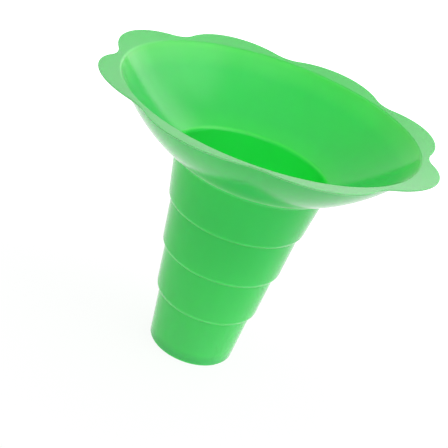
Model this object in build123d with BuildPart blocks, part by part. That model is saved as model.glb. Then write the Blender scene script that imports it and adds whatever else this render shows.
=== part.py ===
from build123d import *

import math
import os

# Flower-rim cup for shaved ice: one thin moulding with a stepped cup, a drip bowl
# and a rim flange cut into petals. Millimetres, +Z up along the axis of revolution,
# origin at the centre of the circle that the cup stands on.

# Skin
WALL = 0.6

# Stepped cup, outside. Each tier is (height of its lower edge, lower radius, upper radius);
# its wall ends at the sloping ledge under the next tier, and the last one ends at the bowl.
TIERS = [
    (0.0, 20.9, 23.2),
    (27.9, 25.1, 27.2),
    (52.2, 29.0, 31.2),
    (76.1, 32.7, 36.4),
]
BOWL_START_Z = 99.2
LEDGE_ANGLE = 35
FOOT_EDGE_R = 0.8
STEP_EDGE_R = 3.0
STEP_CORNER_R = 0.4

# Underside: a shallow recess inside the standing ring, with the mark of the moulding gate
RECESS_DEPTH = 1.0
RECESS_RADIUS = 16.5
RECESS_SLOPE_RUN = 1.2
RECESS_EDGE_R = 0.9
GATE_RADIUS = 1.5
GATE_HEIGHT = 0.3

# Drip bowl, outside: it leaves the mouth of the cup at an angle and steepens to the rim in one arc
MOUTH_OUTER_R = 2.6
MOUTH_RUN = 3.0
MOUTH_ANGLE = 28.7
BOWL_ARC_R = 82.7
BOWL_RIM_ANGLE = 57.1

# Rim flange and its petals
RIM_UNDER_R = 0.9
FLANGE_ANGLE = 9.6
FLANGE_LENGTH = 13.0
PETALS = 8
PETAL_TIP_R = 79.3
PETAL_ARC_R = 32.5
VALLEY_R = 17.0
FLANGE_EDGE_R = 0.2


def run(distance, angle):
    """A step of the given length at an angle above the horizontal, in the profile's plane."""
    return Vector(distance, 0).rotate(Axis.Z, angle)


def cup_corners():
    """Corners of the cup's outer line and their radii, from the axis out to the bowl."""
    corners = [
        ((0, RECESS_DEPTH), None),
        ((RECESS_RADIUS, RECESS_DEPTH), RECESS_EDGE_R),
        ((RECESS_RADIUS + RECESS_SLOPE_RUN, 0), RECESS_EDGE_R),
    ]
    for index, (low_z, low_radius, top_radius) in enumerate(TIERS):
        corners.append(((low_radius, low_z), STEP_EDGE_R if index else FOOT_EDGE_R))
        if index < len(TIERS) - 1:
            next_z, next_radius, _ = TIERS[index + 1]
            ledge_drop = (next_radius - top_radius) * math.tan(math.radians(LEDGE_ANGLE))
            corners.append(((top_radius, next_z - ledge_drop), STEP_CORNER_R))
        else:
            corners.append(((top_radius, BOWL_START_Z), MOUTH_OUTER_R))
    mouth = Vector(*corners[-1][0])
    end = mouth + run(MOUTH_RUN, MOUTH_ANGLE)
    corners.append(((end.X, end.Y), None))
    return corners


corners = cup_corners()
points = [point for point, radius in corners]
radii = [radius for point, radius in corners if radius]

with BuildPart() as flower_cup:
    # The skin is the same thickness all over: its outer line, thickened towards the inside
    with BuildSketch(Plane.XZ) as skin:
        with BuildLine() as outer_line:
            cup = FilletPolyline(*points, radius=radii)
            bowl = JernArc(cup @ 1, cup % 1, BOWL_ARC_R, BOWL_RIM_ANGLE - MOUTH_ANGLE)
            rim = JernArc(bowl @ 1, bowl % 1, RIM_UNDER_R, FLANGE_ANGLE - BOWL_RIM_ANGLE)
            Line(rim @ 1, rim @ 1 + run(FLANGE_LENGTH, FLANGE_ANGLE))
            offset(amount=WALL, side=Side.LEFT)
        make_face()
    revolve(axis=Axis.Z)

    # Eight petals: overlapping arcs, with each valley between them rounded
    with BuildSketch(Plane.XY) as petal_outline:
        petal_centre = PETAL_TIP_R - PETAL_ARC_R
        Circle(petal_centre)
        with PolarLocations(petal_centre, PETALS, start_angle=180 / PETALS):
            Circle(PETAL_ARC_R)
        fillet(petal_outline.vertices(), VALLEY_R)
    extrude(amount=2 * BOWL_START_Z, mode=Mode.INTERSECT)

    # The flange's cut edges are rounded above and below
    cut_faces = flower_cup.faces().filter_by(GeomType.CYLINDER)
    cut_edges = cut_faces.edges().filter_by(lambda edge: edge.length > WALL * 2)
    fillet(cut_edges, FLANGE_EDGE_R)

    # Mark of the moulding gate, inside the recess
    with BuildSketch(Plane.XY.offset(RECESS_DEPTH - GATE_HEIGHT)) as gate:
        Circle(GATE_RADIUS)
    extrude(amount=GATE_HEIGHT + WALL / 2)

flower_cup.part.label = "flower_cup"

os.makedirs("parts", exist_ok=True)
export_step(flower_cup.part, "parts/flower_cup.step")
print("volume mm3", round(flower_cup.part.volume, 1), flower_cup.part.bounding_box())
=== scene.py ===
import math

import bpy
from mathutils import Matrix, Vector


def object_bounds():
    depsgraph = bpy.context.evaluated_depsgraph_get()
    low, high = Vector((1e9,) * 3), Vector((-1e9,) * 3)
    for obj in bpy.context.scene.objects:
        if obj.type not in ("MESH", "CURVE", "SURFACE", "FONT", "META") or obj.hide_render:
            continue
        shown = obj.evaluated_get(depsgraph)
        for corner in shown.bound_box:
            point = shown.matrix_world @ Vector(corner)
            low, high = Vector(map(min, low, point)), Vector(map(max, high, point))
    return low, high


# Metres, +Z up, in the frame of the CAD model. The cup is one moulding, so nothing is added to it:
# this script gives it its plastic, and sets the floor, the light and the camera.

# Camera: it looks down on the cup by 27 degrees, and the cup leans to the right in the frame
CAMERA_AT = Vector((-0.0079, -0.4111, 0.2748))
VIEW_ALONG = Vector((0.0097, 0.8921, -0.4517))
CAMERA_ROLL = math.radians(19.332)
LENS_MM = 79.31
SENSOR_MM = 36.0

# Light: a white sky, and softboxes given as (azimuth, elevation, half width in degrees, strength).
# The last one is a flag, which takes light away low down on the left. The core is the share of the
# half width that has full strength. The floor glows more behind the cup, and past the floor's edge
# the backdrop is plain white.
SKY_STRENGTH = 0.8
SOFTBOXES = [
    (2.0, 31.0, 36.0, 1.2),
    (300.0, 36.0, 42.0, 0.45),
    (325.0, 2.0, 36.0, 0.6),
    (62.0, 20.0, 34.0, 0.88),
    (225.0, 5.0, 55.0, -0.4),
]
SOFTBOX_CORE = 0.35
BACKDROP_STRENGTH = 1.0
WHITE = (1.0, 1.0, 1.0, 1.0)
FLOOR_SIZE = 8.0
FLOOR_GAP = 0.00002
FLOOR_GLOW = 0.89
FLOOR_GREY = (0.13, 0.13, 0.13, 1.0)
BACK_GLOW = 1.5
BACK_BLEND = (0.0, 0.5)

# Plastic: a deep green in the bowl and at the mouth. Down the outside of the cup the green goes from a
# lighter and yellower one at the bottom to a darker one with hardly any red at the top, which is
# painted shade under the bowl. The underside of the bowl is darker, also painted shade, and the bowl
# is lighter and yellower near the rim, a painted glow of light through the thin wall. A deeper ring
# where the wall meets the floor of the cup is painted shade at the foot, and the lighter lines in the
# fold at the mouth and on the ridge round the bowl are painted highlights. The green is paler in the
# thin flange and along its cut edge. Each blend runs between two heights or radii, or between two
# values of the normal's upward part.
BOWL_GREEN = (0.022, 0.350, 0.082, 1.0)
UNDER_SHADE_GREEN = (0.012, 0.295, 0.066, 1.0)
RIM_GLOW_GREEN = (0.066, 0.410, 0.094, 1.0)
MOUTH_GREEN = (0.026, 0.425, 0.069, 1.0)
TIER_GREEN = (0.042, 0.830, 0.102, 1.0)
TOP_TIER_SHADE_GREEN = (0.004, 0.430, 0.062, 1.0)
FLANGE_GREEN = (0.048, 0.352, 0.090, 1.0)
EDGE_GREEN = (0.150, 0.340, 0.170, 1.0)
FOLD_HIGHLIGHT_GREEN = (0.060, 0.560, 0.074, 1.0)
RIDGE_HIGHLIGHT_GREEN = (0.095, 0.480, 0.090, 1.0)
FOOT_SHADE_GREEN = (0.034, 0.430, 0.108, 1.0)
BOWL_BLEND = (0.097, 0.107)
UNDER_SHADE_BLEND = (-0.60, -0.30)
RIM_GLOW_BLEND = (0.0605, 0.0680)
TIER_BLEND = (0.0, 0.095)
FOOT_SHADE_BLEND = (0.001, 0.007)
FOOT_SHADE_SHARE = 0.65
FLANGE_BLEND = (0.0671, 0.0695)
EDGE_BLEND = (0.60, 0.90)
PAST_RIDGE_BLEND = (0.0695, 0.0705)
RIDGE_RADIUS = 0.0682
RIDGE_REACH = 0.0016
RIDGE_HIGHLIGHT_SHARE = 0.5
FOLD_HEIGHT = 0.0996
FOLD_REACH = 0.0009
FOLD_HIGHLIGHT_SHARE = 0.5
INSIDE_BLEND = (-0.05, 0.05)
IOR = 1.5
SHEEN_WEIGHT = 0.45
SHEEN_ROUGHNESS = 0.2
SCATTER_SCALE = 0.0045
SCATTER_RADIUS = (0.3, 1.0, 0.4)

# Moulding marks: each noise has a scale and a detail, and its values lie mostly between the noise
# ends. Tints change the colour by a share, and the relief is in metres.
NOISE_ENDS = (0.3, 0.7)
STREAK_NOISE = (5.0, 3.0)
STREAK_TINT = 0.012
CLOUD_NOISE = (38.0, 2.0)
CLOUD_TINT = 0.02
GRAIN_NOISE = (900.0, 4.0)
WAVE_NOISE = (55.0, 1.0)
ROUGHNESS_LOW = 0.10
ROUGHNESS_HIGH = 0.20
CLOUD_SHARE_OF_GLOSS = 0.7
GRAIN_SHARE_OF_GLOSS = 0.3
WAVE_HEIGHT = 0.00006
TURNING_PITCH = 0.0006
TURNING_HEIGHT = 0.0000012
GRAIN_HEIGHT = 0.0000015

# Places of the colour sockets of a Mix node, which has the same names once for each kind of data
MIX_SHARE = 0
MIX_FIRST = 6
MIX_SECOND = 7
MIX_RESULT = 2


def direction(azimuth, elevation):
    """Unit vector towards an azimuth, counter-clockwise from +X, and an elevation, in degrees."""
    az = math.radians(azimuth)
    el = math.radians(elevation)
    return Vector((math.cos(el) * math.cos(az), math.cos(el) * math.sin(az), math.sin(el)))


class Tree:
    """Adds nodes to one node tree; an input is a number, a vector or another node's output."""

    def __init__(self, node_tree):
        self.nodes = node_tree.nodes
        self.links = node_tree.links

    def add(self, kind, inputs=None, **settings):
        node = self.nodes.new(kind)
        for name, value in settings.items():
            setattr(node, name, value)
        for name, value in (inputs or {}).items():
            self.put(node.inputs[name], value)
        return node

    def put(self, socket, value):
        if isinstance(value, bpy.types.NodeSocket):
            self.links.new(value, socket)
        else:
            socket.default_value = value

    def math(self, operation, first, second=0.0):
        return self.add("ShaderNodeMath", {0: first, 1: second}, operation=operation).outputs[0]

    def remap(self, value, ends, start, end, kind="LINEAR"):
        low, high = ends
        inputs = {"Value": value, "From Min": low, "From Max": high, "To Min": start, "To Max": end}
        return self.add("ShaderNodeMapRange", inputs, interpolation_type=kind).outputs["Result"]

    def blend(self, value, ends, start=0.0, end=1.0):
        """Goes smoothly from start to end as the value goes from one end to the other."""
        return self.remap(value, ends, start, end, "SMOOTHSTEP")

    def band(self, value, centre, reach, share):
        """The share at the centre value, which fades to nothing at a distance of reach."""
        distance = self.math("ABSOLUTE", self.math("SUBTRACT", value, centre))
        return self.blend(distance, (0.0, reach), share, 0.0)

    def mix(self, share, first, second):
        inputs = {MIX_SHARE: share, MIX_FIRST: first, MIX_SECOND: second}
        return self.add("ShaderNodeMix", inputs, data_type="RGBA").outputs[MIX_RESULT]

    def noise(self, vector, scale_and_detail):
        scale, detail = scale_and_detail
        inputs = {"Vector": vector, "Scale": scale, "Detail": detail}
        return self.add("ShaderNodeTexNoise", inputs).outputs["Fac"]

    def split(self, vector):
        return self.add("ShaderNodeSeparateXYZ", {0: vector}).outputs

    def vector_math(self, operation, inputs, output="Vector"):
        return self.add("ShaderNodeVectorMath", inputs, operation=operation).outputs[output]


def make_camera(scene):
    data = bpy.data.cameras.new("camera")
    data.lens = LENS_MM
    data.sensor_width = SENSOR_MM
    camera = bpy.data.objects.new("camera", data)
    scene.collection.objects.link(camera)
    level = VIEW_ALONG.to_track_quat("-Z", "Y").to_matrix()
    turned = level @ Matrix.Rotation(CAMERA_ROLL, 3, "Z")
    camera.matrix_world = Matrix.Translation(CAMERA_AT) @ turned.to_4x4()
    scene.camera = camera


def make_light(scene):
    world = bpy.data.worlds.new("studio")
    scene.world = world
    world.use_nodes = True
    tree = Tree(world.node_tree)
    background = tree.nodes["Background"]
    background.inputs["Color"].default_value = WHITE
    towards = tree.add("ShaderNodeTexCoord").outputs["Generated"]
    total = SKY_STRENGTH
    for azimuth, elevation, half_width, strength in SOFTBOXES:
        aim = {0: towards, 1: direction(azimuth, elevation)}
        facing = tree.vector_math("DOT_PRODUCT", aim, "Value")
        edge = math.cos(math.radians(half_width))
        core = math.cos(math.radians(half_width * SOFTBOX_CORE))
        total = tree.math("ADD", tree.blend(facing, (edge, core), 0.0, strength), total)
    seen = tree.add("ShaderNodeLightPath").outputs["Is Camera Ray"]
    shown = tree.remap(seen, (0.0, 1.0), total, BACKDROP_STRENGTH)
    tree.put(background.inputs["Strength"], shown)


def make_floor():
    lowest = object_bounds()[0]
    bpy.ops.mesh.primitive_plane_add(size=FLOOR_SIZE, location=(0.0, 0.0, lowest.z - FLOOR_GAP))
    floor = bpy.context.object
    floor.name = "floor"
    paint = bpy.data.materials.new("floor_paint")
    paint.use_nodes = True
    tree = Tree(paint.node_tree)
    shader = tree.nodes["Principled BSDF"]
    shader.inputs["Base Color"].default_value = FLOOR_GREY
    shader.inputs["Roughness"].default_value = 1.0
    shader.inputs["Specular IOR Level"].default_value = 0.0
    shader.inputs["Emission Color"].default_value = WHITE
    behind = tree.split(tree.add("ShaderNodeTexCoord").outputs["Object"])["Y"]
    tree.put(shader.inputs["Emission Strength"], tree.blend(behind, BACK_BLEND, FLOOR_GLOW, BACK_GLOW))
    floor.data.materials.append(paint)


def zone_green(tree, height, radius, upward):
    """The plastic's green by height, by radius and by the upward part of the normal, with painted
    shade at the top of the cup, at its foot and under the bowl, a painted glow near the rim, and
    painted highlights in the fold and on the ridge.
    """
    inside = tree.blend(upward, INSIDE_BLEND)
    top_green = tree.mix(inside, TOP_TIER_SHADE_GREEN, MOUTH_GREEN)
    # The outside goes from lighter and yellower at the bottom to darker at the top: painted shade
    # under the bowl.
    cup_green = tree.mix(tree.blend(height, TIER_BLEND, 1.0, 0.0), top_green, TIER_GREEN)
    # A darker ring at the foot of the cup: painted shade.
    in_foot_shade = tree.blend(height, FOOT_SHADE_BLEND, FOOT_SHADE_SHARE, 0.0)
    cup_green = tree.mix(in_foot_shade, cup_green, FOOT_SHADE_GREEN)

    # Lighter and yellower near the rim: a painted glow of light through the thin wall.
    bowl_green = tree.mix(tree.blend(radius, RIM_GLOW_BLEND), BOWL_GREEN, RIM_GLOW_GREEN)
    # Darker on the underside of the bowl: painted shade.
    bowl_green = tree.mix(tree.blend(upward, UNDER_SHADE_BLEND, 1.0, 0.0), bowl_green, UNDER_SHADE_GREEN)

    steep = tree.blend(tree.math("ABSOLUTE", upward), EDGE_BLEND, 1.0, 0.0)
    on_edge = tree.math("MULTIPLY", steep, tree.blend(radius, PAST_RIDGE_BLEND))
    flange_green = tree.mix(on_edge, FLANGE_GREEN, EDGE_GREEN)

    green = tree.mix(tree.blend(height, BOWL_BLEND), cup_green, bowl_green)
    # A lighter line in the fold at the mouth: a painted highlight.
    on_fold_highlight = tree.band(height, FOLD_HEIGHT, FOLD_REACH, FOLD_HIGHLIGHT_SHARE)
    green = tree.mix(tree.math("MULTIPLY", on_fold_highlight, inside), green, FOLD_HIGHLIGHT_GREEN)
    green = tree.mix(tree.blend(radius, FLANGE_BLEND), green, flange_green)
    # A lighter line on the ridge round the bowl: a painted highlight.
    on_ridge_highlight = tree.band(radius, RIDGE_RADIUS, RIDGE_REACH, RIDGE_HIGHLIGHT_SHARE)
    return tree.mix(tree.math("MULTIPLY", on_ridge_highlight, inside), green, RIDGE_HIGHLIGHT_GREEN)


def tint(tree, noise, amount):
    """A factor near 1, which the noise takes up or down by the amount."""
    return tree.remap(noise, NOISE_ENDS, 1.0 - amount, 1.0 + amount)


def make_plastic():
    plastic = bpy.data.materials.new("cup_plastic")
    plastic.use_nodes = True
    tree = Tree(plastic.node_tree)
    shader = tree.nodes["Principled BSDF"]
    coordinates = tree.add("ShaderNodeTexCoord").outputs
    place = coordinates["Object"]
    parts = tree.split(place)
    height = parts["Z"]
    flat = tree.add("ShaderNodeCombineXYZ", {"X": parts["X"], "Y": parts["Y"]}).outputs["Vector"]
    radius = tree.vector_math("LENGTH", {0: flat}, "Value")
    spoke = tree.vector_math("NORMALIZE", {0: flat})
    clouds = tree.noise(place, CLOUD_NOISE)
    grain = tree.noise(place, GRAIN_NOISE)

    # Colour: flow streaks run outwards from the gate, and the pigment clouds a little
    green = zone_green(tree, height, radius, tree.split(coordinates["Normal"])["Z"])
    streaks = tree.noise(spoke, STREAK_NOISE)
    tints = tree.math("MULTIPLY", tint(tree, streaks, STREAK_TINT), tint(tree, clouds, CLOUD_TINT))
    tree.put(shader.inputs["Base Color"], tree.vector_math("SCALE", {0: green, "Scale": tints}))

    # Gloss: slightly uneven, as on a polished mould
    from_clouds = tree.math("MULTIPLY", clouds, CLOUD_SHARE_OF_GLOSS)
    dullness = tree.math("ADD", from_clouds, tree.math("MULTIPLY", grain, GRAIN_SHARE_OF_GLOSS))
    roughness = tree.remap(dullness, NOISE_ENDS, ROUGHNESS_LOW, ROUGHNESS_HIGH)
    tree.put(shader.inputs["Roughness"], roughness)

    # Relief: slow waves in the thin wall, the mould's fine turning marks, and grain
    climb = tree.math("ADD", radius, height)
    turning = tree.math("SINE", tree.math("MULTIPLY", climb, 2.0 * math.pi / TURNING_PITCH))
    relief = tree.math("MULTIPLY", tree.noise(place, WAVE_NOISE), WAVE_HEIGHT)
    relief = tree.math("ADD", relief, tree.math("MULTIPLY", turning, TURNING_HEIGHT))
    relief = tree.math("ADD", relief, tree.math("MULTIPLY", grain, GRAIN_HEIGHT))
    bump = tree.add("ShaderNodeBump", {"Height": relief, "Distance": 1.0})
    tree.put(shader.inputs["Normal"], bump.outputs["Normal"])

    shader.inputs["IOR"].default_value = IOR
    shader.inputs["Sheen Weight"].default_value = SHEEN_WEIGHT
    shader.inputs["Sheen Roughness"].default_value = SHEEN_ROUGHNESS
    shader.inputs["Subsurface Weight"].default_value = 1.0
    shader.inputs["Subsurface Radius"].default_value = SCATTER_RADIUS
    shader.inputs["Subsurface Scale"].default_value = SCATTER_SCALE
    return plastic


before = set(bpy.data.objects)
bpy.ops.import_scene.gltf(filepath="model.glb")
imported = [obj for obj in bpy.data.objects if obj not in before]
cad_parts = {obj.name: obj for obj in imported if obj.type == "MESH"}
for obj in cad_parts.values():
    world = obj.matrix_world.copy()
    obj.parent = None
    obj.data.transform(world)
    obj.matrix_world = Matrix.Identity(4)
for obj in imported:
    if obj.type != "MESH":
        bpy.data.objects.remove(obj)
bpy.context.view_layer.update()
studio = bpy.context.scene
studio.view_settings.view_transform = "Standard"
make_camera(studio)
make_light(studio)
make_floor()

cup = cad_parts["flower_cup"]
cup.data.materials.clear()
cup.data.materials.append(make_plastic())
